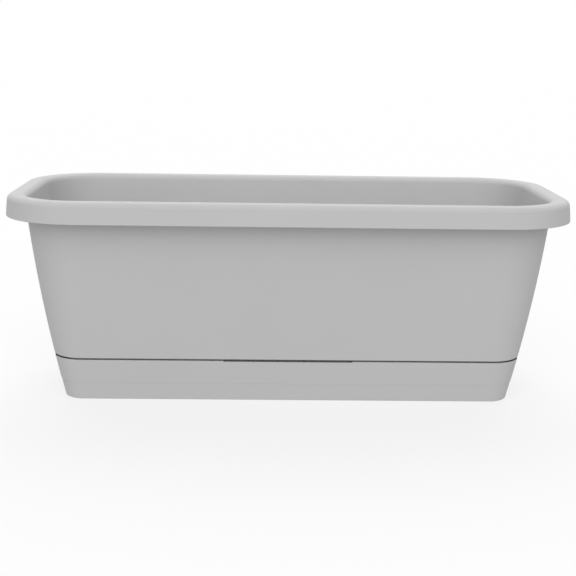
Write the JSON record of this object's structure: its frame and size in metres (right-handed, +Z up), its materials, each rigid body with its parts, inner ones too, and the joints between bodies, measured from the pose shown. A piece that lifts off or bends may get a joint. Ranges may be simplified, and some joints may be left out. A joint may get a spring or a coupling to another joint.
{
  "type": "rectangular planter",
  "caption": "Rectangular planter: a tapered plastic trough with a rolled rim and drain holes, clipped flush into a drip tray that stands flat on a floor or sill.",
  "frame": {"origin": "on the ground under the middle of the planter, in the plane of the drip tray's foot", "axes": "+X along the planter's length, -Y towards its front, +Z up"},
  "size_m": [0.457, 0.205, 0.1686],
  "materials": {
    "trough_plastic": "light grey polypropylene with a fine moulded matte texture",
    "tray_plastic": "light grey polypropylene with a fine moulded matte texture"
  },
  "bodies": {
    "tray": {"drip_tray": "tray_plastic"},
    "trough": {"planter_trough": "trough_plastic"}
  },
  "joints": [
    {"name": "trough_lift", "type": "slide", "parent": "tray", "child": "trough", "axis": [0, 0, 1], "range_m": [0, 0.08]}
  ]
}
